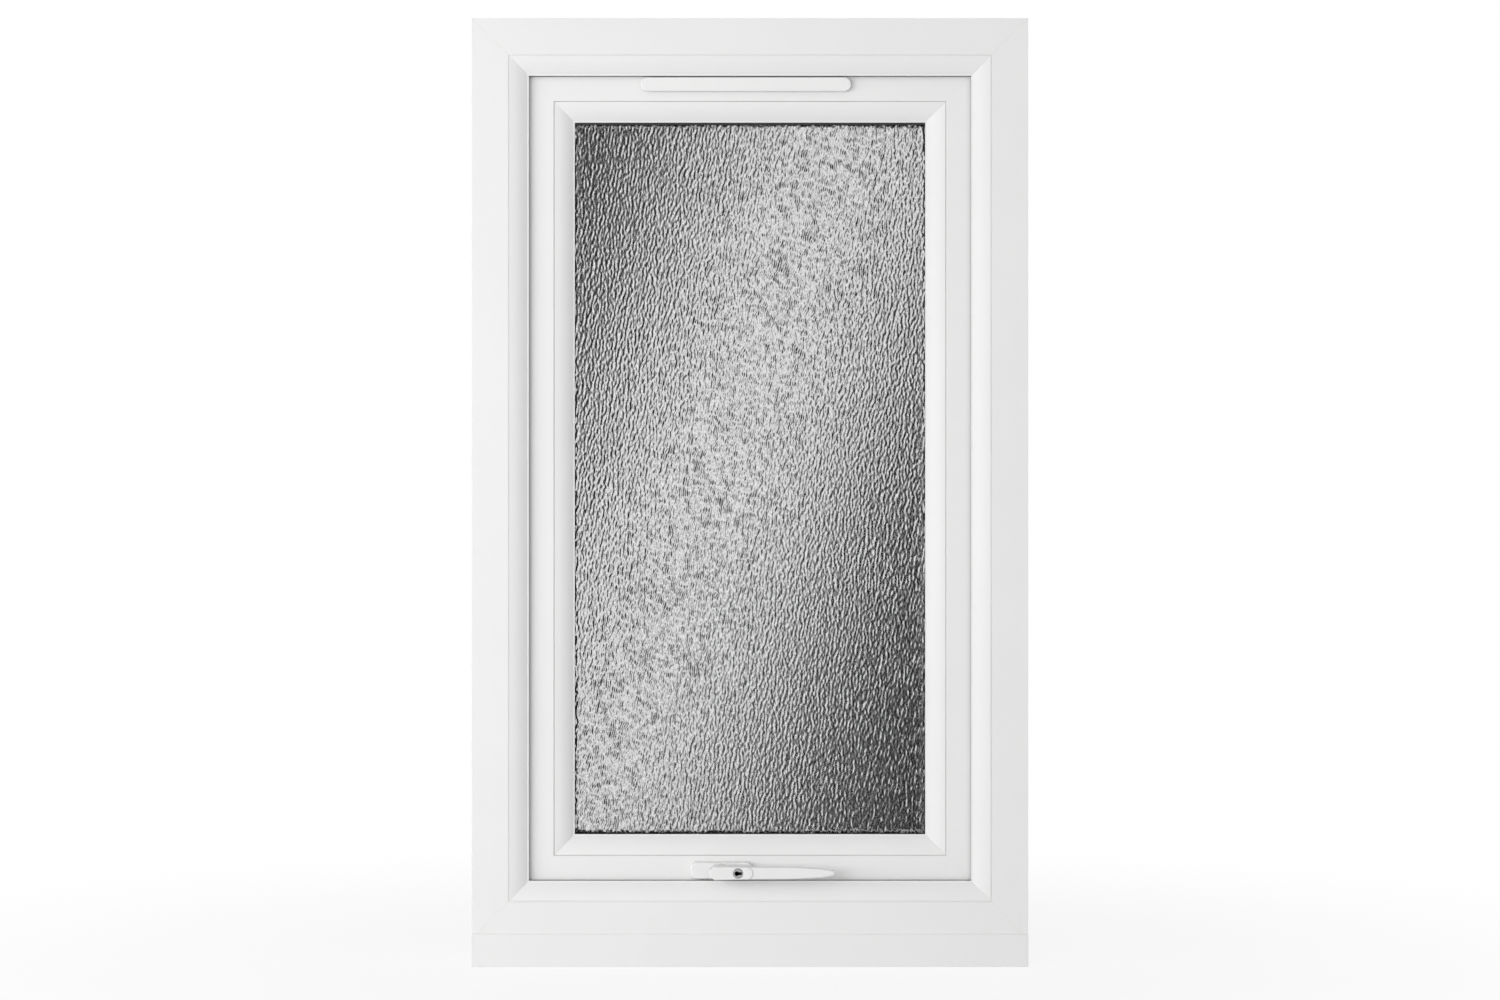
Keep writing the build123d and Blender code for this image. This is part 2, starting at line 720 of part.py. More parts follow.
for name, sign in (("left", -1), ("right", 1)):
    with BuildPart() as stay_track:
        add(slotted_channel(sign * rebate_x, sign, track_range[0], track_range[1]))
        for z in track_screws_z:
            start = (sign * (rebate_x - track_plate), groove_y, z)
            add(rod_between("X", start, sign * (rebate_x + 1), screw_hole), mode=Mode.SUBTRACT)
    stay_track.part.label = f"stay_track_{name}"
    export_step(stay_track.part, f"parts/stay_track_{name}.step")

    # The arm runs from the track's pivot up to the sash bar's pivot; the right hand hole on
    # the sash bar's rivet is larger, because that pivot is the one left open in the chain
    arm_hole = rivet_radius + (pivot_clearance if name == "left" else open_pivot_clearance)
    arm_plane = Plane((sign * arm_x, groove_y, arm_z - arm_length / 2), x_dir=(0, 1, 0), z_dir=(1, 0, 0))
    with BuildPart() as stay_arm:
        with BuildSketch(arm_plane):
            SlotCenterToCenter(arm_length, 2 * arm_half_width, rotation=90)
            with Locations((0, -arm_length / 2)):
                Circle(rivet_radius + pivot_clearance, mode=Mode.SUBTRACT)
            with Locations((0, arm_length / 2)):
                Circle(arm_hole, mode=Mode.SUBTRACT)
        extrude(amount=sign * arm_thickness)
        chamfer(stay_arm.edges().filter_by(GeomType.LINE).group_by(SortBy.LENGTH)[-1], length=0.4)
    stay_arm.part.label = f"stay_arm_{name}"
    export_step(stay_arm.part, f"parts/stay_arm_{name}.step")

    with BuildPart() as stay_sash_bar:
        bar_inner = sign * (bar_x - bar_thickness)
        bar_middle_z = slider_z - bar_length / 2 - 1
        bar_plane = Plane((bar_inner, groove_y, bar_middle_z), x_dir=(0, 1, 0), z_dir=(1, 0, 0))
        with BuildSketch(bar_plane):
            SlotCenterToCenter(bar_length, bar_width, rotation=90)
            for z in (slider_z, arm_z):
                with Locations((0, z - bar_middle_z)):
                    Circle(rivet_radius, mode=Mode.SUBTRACT)
            for z in bar_screws_z:
                with Locations((0, z - bar_middle_z)):
                    Circle(screw_hole, mode=Mode.SUBTRACT)
        extrude(amount=sign * bar_thickness)
    stay_sash_bar.part.label = f"stay_sash_bar_{name}"
    export_step(stay_sash_bar.part, f"parts/stay_sash_bar_{name}.step")

    with BuildPart() as stay_shoe:
        plate_x = (sign * shoe_plate[0], sign * shoe_plate[1])
        shoe_side = track_half_width - track_plate - 0.3
        add(block(
            (min(plate_x), max(plate_x)),
            (groove_y - shoe_side, groove_y + shoe_side),
            (slider_z - shoe_half, slider_z + shoe_half),
        ))
        fillet(stay_shoe.edges().filter_by(Axis.X), radius=3.0)
        boss_start = (sign * (bar_x + washer_thickness + 0.2), groove_y, slider_z)
        add(rod_between("X", boss_start, sign * (shoe_plate[0] + 0.5), post_radius))
        add(rod_between("X", boss_start, sign * rebate_x, rivet_radius + pivot_clearance), mode=Mode.SUBTRACT)
    stay_shoe.part.label = f"stay_shoe_{name}"
    export_step(stay_shoe.part, f"parts/stay_shoe_{name}.step")

    for z in track_screws_z:
        start = (sign * (rebate_x - track_plate), groove_y, z)
        track_screws.append(countersunk("X", start, sign * (rebate_x + 7.5), screw_head, screw_shank, 1.0))
    for z in bar_screws_z:
        start = (sign * bar_x, groove_y, z)
        bar_screws.append(countersunk("X", start, sign * (bar_x - 11.5), screw_head, screw_shank, 1.8))

    # Rivets are fixed in the sash bar: one carries the arm, the other the shoe
    channel_face = sash_half - groove_depth
    for z, end in ((arm_z, arm_x + arm_thickness + 1.2), (slider_z, shoe_plate[1])):
        with BuildPart() as rivet:
            add(rod_between("X", (sign * (channel_face - 1), groove_y, z), sign * end, rivet_radius))
            add(rod_between("X", (sign * (channel_face - 1), groove_y, z), sign * channel_face, 4.3))
            if z == arm_z:
                add(rod_between("X", (sign * (end - 1), groove_y, z), sign * end, 5.0))
        rivets.append(rivet.part)
        washer_start = (sign * bar_x, groove_y, z)
        washer_end = sign * (bar_x + washer_thickness)
        with BuildPart() as washer:
            add(rod_between("X", washer_start, washer_end, 6.5))
            hole = rod_between("X", washer_start, washer_end, rivet_radius + pivot_clearance)
            add(hole, mode=Mode.SUBTRACT)
        washers.append(washer.part)

    # The post stands on the track plate and carries the arm's lower end on a spigot
    shoulder = arm_x + arm_thickness + 0.2
    foot = (sign * (rebate_x - track_plate), groove_y, track_z)
    with BuildPart() as post:
        add(rod_between("X", foot, sign * shoulder, post_radius))
        add(rod_between("X", (sign * shoulder, groove_y, track_z), sign * (arm_x + 0.2), rivet_radius))
    posts.append(post.part)

stay_rivets = group(rivets)
stay_rivets.part.label = "stay_rivets"
export_step(stay_rivets.part, "parts/stay_rivets.step")

stay_washers = group(washers)
stay_washers.part.label = "stay_washers"
export_step(stay_washers.part, "parts/stay_washers.step")

stay_pivot_posts = group(posts)
stay_pivot_posts.part.label = "stay_pivot_posts"
export_step(stay_pivot_posts.part, "parts/stay_pivot_posts.step")

stay_track_screws = group(track_screws)
stay_track_screws.part.label = "stay_track_screws"
export_step(stay_track_screws.part, "parts/stay_track_screws.step")

stay_bar_screws = group(bar_screws)
stay_bar_screws.part.label = "stay_bar_screws"
export_step(stay_bar_screws.part, "parts/stay_bar_screws.step")


# Handle --------------------------------------------------------------------------------------

def facing(y):
    """A plane parallel to the glass through y, centred on the spindle and facing the room."""
    return Plane((spindle_x, y, spindle_z), x_dir=(1, 0, 0), z_dir=(0, -1, 0))


base_front_y = -26.0
journal_radius = 5.5
running_fit = 0.08
handle_screw_head = 4.8
handle_screw_head_depth = 2.4
with BuildPart() as handle_base:
    with BuildSketch(facing(sash_room_y)):
        SlotOverall(plate_length - 6, plate_height - 5.5)
        Circle(journal_radius + running_fit, mode=Mode.SUBTRACT)
    extrude(amount=sash_room_y - base_front_y)
    with BuildSketch(facing(sash_room_y)):
        with Locations((-screw_spacing / 2, 0), (screw_spacing / 2, 0)):
            Circle(handle_screw_hole)
    extrude(amount=sash_room_y - base_front_y, mode=Mode.SUBTRACT)
    with BuildSketch(facing(base_front_y)):
        with Locations((-screw_spacing / 2, 0), (screw_spacing / 2, 0)):
            Circle(handle_screw_head + 0.1)
    extrude(amount=-handle_screw_head_depth, mode=Mode.SUBTRACT)
handle_base.part.label = "handle_base"
export_step(handle_base.part, "parts/handle_base.step")

with BuildPart() as handle_backplate:
    with BuildSketch(facing(sash_room_y)):
        RectangleRounded(plate_length, plate_height, 7.0)
    extrude(amount=sash_room_y - plate_front_y, taper=4)
    fillet(handle_backplate.faces().sort_by(Axis.Y)[0].edges(), radius=1.6)
    with BuildSketch(facing(sash_room_y)):
        SlotOverall(plate_length - 5.4, plate_height - 4.9)
    extrude(amount=sash_room_y - base_front_y + 0.3, mode=Mode.SUBTRACT)
    with BuildSketch(facing(sash_room_y)):
        Circle(journal_radius + 0.4)
    extrude(amount=sash_room_y - plate_front_y + 1, mode=Mode.SUBTRACT)
handle_backplate.part.label = "handle_backplate"
export_step(handle_backplate.part, "parts/handle_backplate.step")

handle_screws = group([
    countersunk(
        "Y",
        (x, base_front_y, spindle_z),
        case_y[1] - 1,
        handle_screw_head,
        handle_screw_hole - 0.3,
        handle_screw_head_depth,
    )
    for x in screw_places
])
handle_screws.part.label = "handle_screws"
export_step(handle_screws.part, "parts/handle_screws.step")

with BuildPart() as lever_head:
    with BuildSketch(facing(head_back_y)) as head:
        with BuildLine():
            Polyline((26, -6.6), (-7, -7.2), (-12.5, -3.4), (-12.5, 3.4), (-7, 7.2), (26, 6.6))
            ThreePointArc((26, 6.6), (32, 0), (26, -6.6))
        make_face()
        fillet(head.vertices().group_by(Axis.X)[0], radius=3.0)
    extrude(amount=head_back_y - lever_front_y, taper=1.5)
    fillet(lever_head.faces().sort_by(Axis.Y)[0].edges(), radius=1.3)

with BuildPart() as lever_grip:
    with BuildSketch(facing(grip_back_y)):
        with BuildLine():
            Polyline((10, -6.4), (72, -6.0), (100, -4.4), (110.5, -2.6))
            ThreePointArc((110.5, -2.6), (113, 0), (110.5, 2.6))
            Polyline((110.5, 2.6), (100, 4.4), (72, 6.0), (10, 6.4), (10, -6.4))
        make_face()
    extrude(amount=grip_back_y - grip_front_y)
    long_faces = lever_grip.faces().filter_by(Plane.XZ)
    fillet(long_faces.edges(), radius=1.8)

# A collar and journal under the head turn in the base, and the spindle fills their square socket
collar_radius = 7.0
collar_back_y = plate_front_y - 0.3
journal_back_y = base_front_y + 3.0
spindle_reach = 21.8
key_depth = 10.0
with BuildPart() as handle_lever:
    add(lever_head.part)
    add(lever_grip.part)
    with BuildSketch(facing(collar_back_y)):
        Circle(collar_radius)
    extrude(amount=collar_back_y - head_back_y)
    with BuildSketch(facing(journal_back_y)):
        Circle(journal_radius)
    extrude(amount=journal_back_y - collar_back_y)
    with BuildSketch(facing(sash_room_y)):
        Rectangle(spindle_size, spindle_size)
    extrude(amount=spindle_reach + 0.2, mode=Mode.SUBTRACT)
    with BuildSketch(facing(lever_front_y - 1)):
        with Locations((key_offset, 0)):
            Circle(key_radius + running_fit)
    extrude(amount=-key_depth - 1.4, mode=Mode.SUBTRACT)
handle_lever.part.label = "handle_lever"
export_step(handle_lever.part, "parts/handle_lever.step")

with BuildPart() as handle_spindle:
    with BuildSketch(facing(case_y[1])):
        Rectangle(spindle_size, spindle_size)
    extrude(amount=case_y[1] - sash_room_y + spindle_reach)
    chamfer(handle_spindle.edges().filter_by(Axis.Y), length=0.4)
handle_spindle.part.label = "handle_spindle"
export_step(handle_spindle.part, "parts/handle_spindle.step")

key_proud = 0.5
keyway_depth = 5.0
with BuildPart() as key_cylinder:
    with BuildSketch(facing(lever_front_y + key_depth)):
        with Locations((key_offset, 0)):
            Circle(key_radius)
    extrude(amount=key_depth + key_proud)
    chamfer(key_cylinder.faces().sort_by(Axis.Y)[0].edges(), length=0.5)
    with BuildSketch(facing(lever_front_y - key_proud)):
        with Locations((key_offset - 1.2, 0)):
            Circle(2.3)
        with Locations((key_offset + 1.2, 0)):
            RectangleRounded(5.4, 2.9, 0.6)
    extrude(amount=-keyway_depth, mode=Mode.SUBTRACT)
key_cylinder.part.label = "key_cylinder"
export_step(key_cylinder.part, "parts/key_cylinder.step")


# Lock case, drive rod and keeps --------------------------------------------------------------

def involute(angle):
    """Involute function of an angle in radians."""
    return math.tan(angle) - angle


def tooth_outline(centre):
    """Corners of one pinion tooth about the spindle, both flanks from root to tip."""
    pressure = math.radians(pressure_angle)
    base = pitch_radius * math.cos(pressure)
    half_tooth = (math.pi * gear_module / 2 - tooth_thinning) / (2 * pitch_radius)
    root = pitch_radius - dedendum
    tip = pitch_radius + addendum
    steps = 5
    flank = [(root - 1.5, half_tooth + involute(pressure) + 0.05)]
    for i in range(steps + 1):
        r = base + (tip - base) * i / steps
        flank.append((r, half_tooth + involute(pressure) - involute(math.acos(base / r))))
    turn = math.radians(centre)
    rising = [(r * math.cos(turn - a), r * math.sin(turn - a)) for r, a in flank]
    falling = [(r * math.cos(turn + a), r * math.sin(turn + a)) for r, a in reversed(flank)]
    return rising + falling


# The quadrant has only the teeth that meet the rack over a quarter turn
tooth_step = 360 / gear_teeth
tooth_centres = [-90 - i * tooth_step for i in range(-1, 6)]
hub_radius = 8.0
hub_journal = 5.0
gear_room = 13.2
pinion_y = (0.9, 9.1)
with BuildPart() as gearbox_pinion:
    with BuildSketch(facing(pinion_y[1])):
        Circle(hub_radius)
        with BuildLine():
            root = pitch_radius - dedendum
            first = math.radians(tooth_centres[0] + 8)
            last = math.radians(tooth_centres[-1] - 8)
            middle = (first + last) / 2
            Line((0, 0), (root * math.cos(first), root * math.sin(first)))
            ThreePointArc(
                (root * math.cos(first), root * math.sin(first)),
                (root * math.cos(middle), root * math.sin(middle)),
                (root * math.cos(last), root * math.sin(last)),
            )
            Line((root * math.cos(last), root * math.sin(last)), (0, 0))
        make_face()
        for centre in tooth_centres:
            with BuildLine():
                Polyline(*tooth_outline(centre), close=True)
            make_face()
    extrude(amount=pinion_y[1] - pinion_y[0])
    with BuildSketch(facing(case_y[1])):
        Circle(hub_journal)
    extrude(amount=case_y[1] - case_y[0])
    with BuildSketch(facing(case_y[1] + 1)):
        Rectangle(spindle_size, spindle_size)
    extrude(amount=case_y[1] - case_y[0] + 2, mode=Mode.SUBTRACT)
gearbox_pinion.part.label = "gearbox_pinion"
export_step(gearbox_pinion.part, "parts/gearbox_pinion.step")

cover_thickness = 1.5
case_bottom = rack_pitch_z + addendum + 0.5
foot_z = sash_bottom + groove_depth + 0.1
spindle_line = (spindle_x, case_y[0] - 1, spindle_z)
x_case = (spindle_x - case_half, spindle_x + case_half)
with BuildPart() as gearbox_case:
    add(block(x_case, (case_y[0] + cover_thickness, case_y[1]), (case_bottom, case_top)))
    add(block(x_case, (groove_y + rod_half_width + 0.5, case_y[1]), (foot_z, case_bottom)))
    add(rod_between("Y", spindle_line, case_y[1] - 1.6, gear_room), mode=Mode.SUBTRACT)
    add(block(x_case, (case_y[0] + cover_thickness, case_y[1]), (spindle_z + 8.4, case_top)))
    add(rod_between("Y", spindle_line, case_y[1] + 1, hub_journal + running_fit), mode=Mode.SUBTRACT)
gearbox_case.part.label = "gearbox_case"
export_step(gearbox_case.part, "parts/gearbox_case.step")

with BuildPart() as gearbox_cover:
    add(block(x_case, (case_y[0], case_y[0] + cover_thickness), (foot_z, case_top)))
    add(rod_between("Y", spindle_line, case_y[1] + 1, hub_journal + running_fit), mode=Mode.SUBTRACT)
    for x in screw_places:
        hole = rod_between("Y", (x, case_y[0] - 1, spindle_z), case_y[1], handle_screw_hole)
        add(hole, mode=Mode.SUBTRACT)
gearbox_cover.part.label = "gearbox_cover"
export_step(gearbox_cover.part, "parts/gearbox_cover.step")

# The rod slides along the sash groove; its short rack lies under the pinion
rod_y = (groove_y - rod_half_width, groove_y + rod_half_width)
rack_pitch = math.pi * gear_module
half_tooth = (rack_pitch / 2 - tooth_thinning) / 2
flare = math.tan(math.radians(pressure_angle))
with BuildPart() as drive_rod:
    add(block((cam_places[0] - 12, cam_places[1] + 12), rod_y, (rod_bottom, rod_top)))
    rack_plane = Plane((spindle_x, rod_y[1], rack_pitch_z), x_dir=(1, 0, 0), z_dir=(0, -1, 0))
    with BuildSketch(rack_plane):
        for i in range(-7, 2):
            x = (i + 0.5) * rack_pitch
            root_half = half_tooth + dedendum * flare
            tip_half = half_tooth - addendum * flare
            with BuildLine():
                Polyline(
                    (x - root_half, -dedendum - 0.5),
                    (x + root_half, -dedendum - 0.5),
                    (x + root_half, -dedendum),
                    (x + tip_half, addendum),
                    (x - tip_half, addendum),
                    (x - root_half, -dedendum),
                    close=True,
                )
            make_face()
    extrude(amount=2 * rod_half_width)
drive_rod.part.label = "drive_rod"
export_step(drive_rod.part, "parts/drive_rod.step")

cam_low = 70.0
with BuildPart() as locking_cams:
    for x in cam_places:
        add(rod_between("Z", (x, groove_y, cam_low), rod_bottom, cam_neck))
        add(rod_between("Z", (x, groove_y, cam_low + 0.4), sash_bottom - 0.6, cam_radius))
locking_cams.part.label = "locking_cams"
export_step(locking_cams.part, "parts/locking_cams.step")

plate_z = (sash_bottom + 0.1, sash_bottom + groove_depth)
plate_end = 205.0
faceplate_screws_x = (-190.0, 190.0)
with BuildPart() as espag_faceplate:
    add(block((-plate_end, plate_end), (groove_y - 8, groove_y + 8), plate_z))
    fillet(espag_faceplate.edges().filter_by(Axis.Z), radius=7.0)
    for x in cam_places:
        slot_length = (x - cam_neck - 0.6, x + travel + cam_neck + 0.6)
        slot_y = (groove_y - cam_neck - 0.4, groove_y + cam_neck + 0.4)
        add(block(slot_length, slot_y, (plate_z[0] - 1, plate_z[1] + 1)), mode=Mode.SUBTRACT)
    for x in faceplate_screws_x:
        hole = rod_between("Z", (x, groove_y, plate_z[0] - 1), plate_z[1] + 1, screw_hole)
        add(hole, mode=Mode.SUBTRACT)
espag_faceplate.part.label = "espag_faceplate"
export_step(espag_faceplate.part, "parts/espag_faceplate.step")

faceplate_screws = group([
    countersunk("Z", (x, groove_y, plate_z[0]), plate_z[0] + 13, screw_head, screw_shank, 1.8)
    for x in faceplate_screws_x
])
faceplate_screws.part.label = "faceplate_screws"
export_step(faceplate_screws.part, "parts/faceplate_screws.step")

# Each keep is a plate on the frame's rebate floor with a lip outside the cam's path
keep_top = floor_z + 2.0
keep_screws = []
with BuildPart() as keeps:
    for x in cam_places:
        add(block((x - 32, x + 40), (groove_y - 9, groove_y + 11), (floor_z, keep_top)))
        add(block((x - 12, x + 10), (groove_y + cam_radius + 1, groove_y + 11), (floor_z, cam_low - 0.6)))
    fillet(keeps.edges().filter_by(Axis.Z).group_by(SortBy.LENGTH)[0], radius=2.0)
    for x in cam_places:
        for screw_x in (x - 25, x + 33):
            hole = rod_between("Z", (screw_x, groove_y, floor_z - 1), keep_top + 1, screw_hole)
            add(hole, mode=Mode.SUBTRACT)
            start = (screw_x, groove_y, keep_top)
            keep_screws.append(countersunk("Z", start, floor_z - 5.5, screw_head, screw_shank, 1.8))
keeps.part.label = "keeps"
export_step(keeps.part, "parts/keeps.step")

keep_screw_set = group(keep_screws)
keep_screw_set.part.label = "keep_screws"
export_step(keep_screw_set.part, "parts/keep_screws.step")


# Trickle ventilator --------------------------------------------------------------------------

vent_mid_z = (vent_bottom + vent_top) / 2
vent_length = vent_right - vent_left
vent_height = vent_top - vent_bottom


def vent_plane(y):
    """A plane parallel to the glass, centred on the ventilator and facing the room."""
    return Plane((vent_centre, y, vent_mid_z), x_dir=(1, 0, 0), z_dir=(0, -1, 0))


base_gap = 0.4
vent_base_thickness = 1.6
vent_base_front_y = sash_room_y - vent_base_thickness
ear_x = (vent_left + 15, vent_right - 15)
ear_half = 2.0
ear_front_y = -24.7
ear_z = (vent_hinge_z - 1.25, vent_hinge_z + 1.6)
base_z = (vent_bottom + 2.4, vent_top - vent_wall - base_gap)
base_screws_x = (vent_left + 8, vent_right - 8)
base_screw_z = vent_mid_z + 1.5
pin_radius = 0.8
with BuildPart() as vent_base:
    base_centre = (vent_centre, sash_room_y, sum(base_z) / 2)
    with BuildSketch(Plane(base_centre, x_dir=(1, 0, 0), z_dir=(0, -1, 0))):
        RectangleRounded(vent_length - 6, base_z[1] - base_z[0], 4.0)
    extrude(amount=vent_base_thickness)
    for x in ear_x:
        add(block((x - ear_half, x + ear_half), (ear_front_y, vent_base_front_y + 0.2), ear_z))
        hinge = (x - ear_half - 1, vent_hinge_y, vent_hinge_z)
        add(rod_between("X", hinge, x + ear_half + 1, pin_radius + running_fit), mode=Mode.SUBTRACT)
    for x in air_slots:
        half = air_slot_length / 2
        air_slot = block((x - half, x + half), (-24, sash_room_y), (air_slot_bottom, air_slot_top))
        add(air_slot, mode=Mode.SUBTRACT)
    for x in base_screws_x:
        add(rod_between("Y", (x, -24, base_screw_z), sash_room_y, 2.7), mode=Mode.SUBTRACT)
vent_base.part.label = "vent_base"
export_step(vent_base.part, "parts/vent_base.step")

vent_screws = group([
    countersunk("Y", (x, vent_base_front_y, base_screw_z), sash_room_y + 9, 2.6, 1.4, 1.2)
    for x in base_screws_x
])
vent_screws.part.label = "vent_screws"
export_step(vent_screws.part, "parts/vent_screws.step")

with BuildPart() as vent_flap:
    with BuildSketch(vent_plane(vent_rear_y)):
        RectangleRounded(vent_length, vent_height, 6.9)
    extrude(amount=vent_rear_y - vent_front_y)
    fillet(vent_flap.faces().sort_by(Axis.Y)[0].edges(), radius=1.5)
    with BuildSketch(vent_plane(vent_rear_y)):
        RectangleRounded(vent_length - 2 * vent_wall, vent_height - 2 * vent_wall, 5.7)
    extrude(amount=vent_rear_y - vent_front_y - vent_wall, mode=Mode.SUBTRACT)
    for x, sign in ((ear_x[0], -1), (ear_x[1], 1)):
        post_x = (x + sign * 2.4, x + sign * 3.6)
        post_y = (vent_front_y + 0.8, vent_hinge_y + 0.5)
        add(block((min(post_x), max(post_x)), post_y, (vent_hinge_z - 0.9, vent_hinge_z + 1.1)))
        pin_start = (x + sign * 3.0, vent_hinge_y, vent_hinge_z)
        add(rod_between("X", pin_start, x - sign * 1.8, pin_radius))
vent_flap.part.label = "vent_flap"
export_step(vent_flap.part, "parts/vent_flap.step")

# Outside, a hood sheds water from the air slots and a mesh keeps insects out
hood = 1.6
hood_y = outer_y + 12.0
hood_z = (vent_bottom - 2, vent_bottom + 20)
with BuildPart() as vent_canopy:
    hood_plane = Plane((vent_left + 3, 0, 0), x_dir=(0, 1, 0), z_dir=(1, 0, 0))
    with BuildSketch(hood_plane):
        with BuildLine():
            Polyline(
                (outer_y, hood_z[0]),
                (outer_y + hood, hood_z[0]),
                (outer_y + hood, hood_z[1] - 2.4),
                (hood_y - hood, hood_z[1] - 8.5),
                (hood_y - hood, hood_z[0]),
                (hood_y, hood_z[0]),
                (hood_y, hood_z[1] - 7.4),
                (outer_y + 2.2, hood_z[1]),
                (outer_y, hood_z[1]),
                close=True,
            )
        make_face()
    extrude(amount=vent_length - 6)
    for x in (vent_left + 3, vent_right - 3 - hood):
        with BuildSketch(Plane((x, 0, 0), x_dir=(0, 1, 0), z_dir=(1, 0, 0))):
            with BuildLine():
                Polyline(
                    (outer_y, hood_z[0]),
                    (hood_y, hood_z[0]),
                    (hood_y, hood_z[1] - 7.4),
                    (outer_y + 2.2, hood_z[1]),
                    (outer_y, hood_z[1]),
                    close=True,
                )
            make_face()
        extrude(amount=hood)
    for x in air_slots:
        half = air_slot_length / 2
        hood_slot = block((x - half, x + half), (outer_y - 1, outer_y + 3), (air_slot_bottom, air_slot_top))
        add(hood_slot, mode=Mode.SUBTRACT)
vent_canopy.part.label = "vent_canopy"
export_step(vent_canopy.part, "parts/vent_canopy.step")

mesh_y = (outer_y + hood, outer_y + hood + 0.8)
mesh_cell = 3.4
mesh_count = int((3 * air_slot_length + 24) / mesh_cell)
mesh_hole = 2.4
mesh_half = mesh_count * mesh_cell / 2 + 1
mesh_z = (air_slot_bottom - 1, air_slot_top + 1)
with BuildPart() as vent_mesh:
    add(block((vent_centre - mesh_half, vent_centre + mesh_half), mesh_y, mesh_z))
    with BuildSketch(Plane.XZ.offset(-mesh_y[0] + 1)):
        with Locations((vent_centre, sum(mesh_z) / 2)):
            with GridLocations(mesh_cell, mesh_cell, mesh_count, 2):
                Rectangle(mesh_hole, mesh_hole)
    extrude(amount=-4, mode=Mode.SUBTRACT)
vent_mesh.part.label = "vent_mesh"
export_step(vent_mesh.part, "parts/vent_mesh.step")
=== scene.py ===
import json
import math

import bpy
import numpy as np
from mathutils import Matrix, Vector


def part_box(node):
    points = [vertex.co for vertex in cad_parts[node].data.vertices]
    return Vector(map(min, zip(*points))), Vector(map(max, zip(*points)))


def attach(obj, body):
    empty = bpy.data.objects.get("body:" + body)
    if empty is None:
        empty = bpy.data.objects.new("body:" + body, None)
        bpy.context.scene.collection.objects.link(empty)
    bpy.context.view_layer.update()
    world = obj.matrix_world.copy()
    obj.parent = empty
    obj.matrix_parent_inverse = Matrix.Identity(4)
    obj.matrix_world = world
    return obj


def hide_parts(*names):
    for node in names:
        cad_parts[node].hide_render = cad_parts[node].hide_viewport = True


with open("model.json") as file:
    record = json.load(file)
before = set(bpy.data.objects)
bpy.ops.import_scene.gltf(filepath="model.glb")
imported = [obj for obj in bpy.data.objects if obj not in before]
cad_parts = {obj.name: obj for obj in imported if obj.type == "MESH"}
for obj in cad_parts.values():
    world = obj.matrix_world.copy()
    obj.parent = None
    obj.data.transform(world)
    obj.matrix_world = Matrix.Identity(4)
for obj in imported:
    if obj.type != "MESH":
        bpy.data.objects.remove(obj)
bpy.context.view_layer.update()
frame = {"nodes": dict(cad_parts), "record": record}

MM = 0.001


# Materials -------------------------------------------------------------------------------------


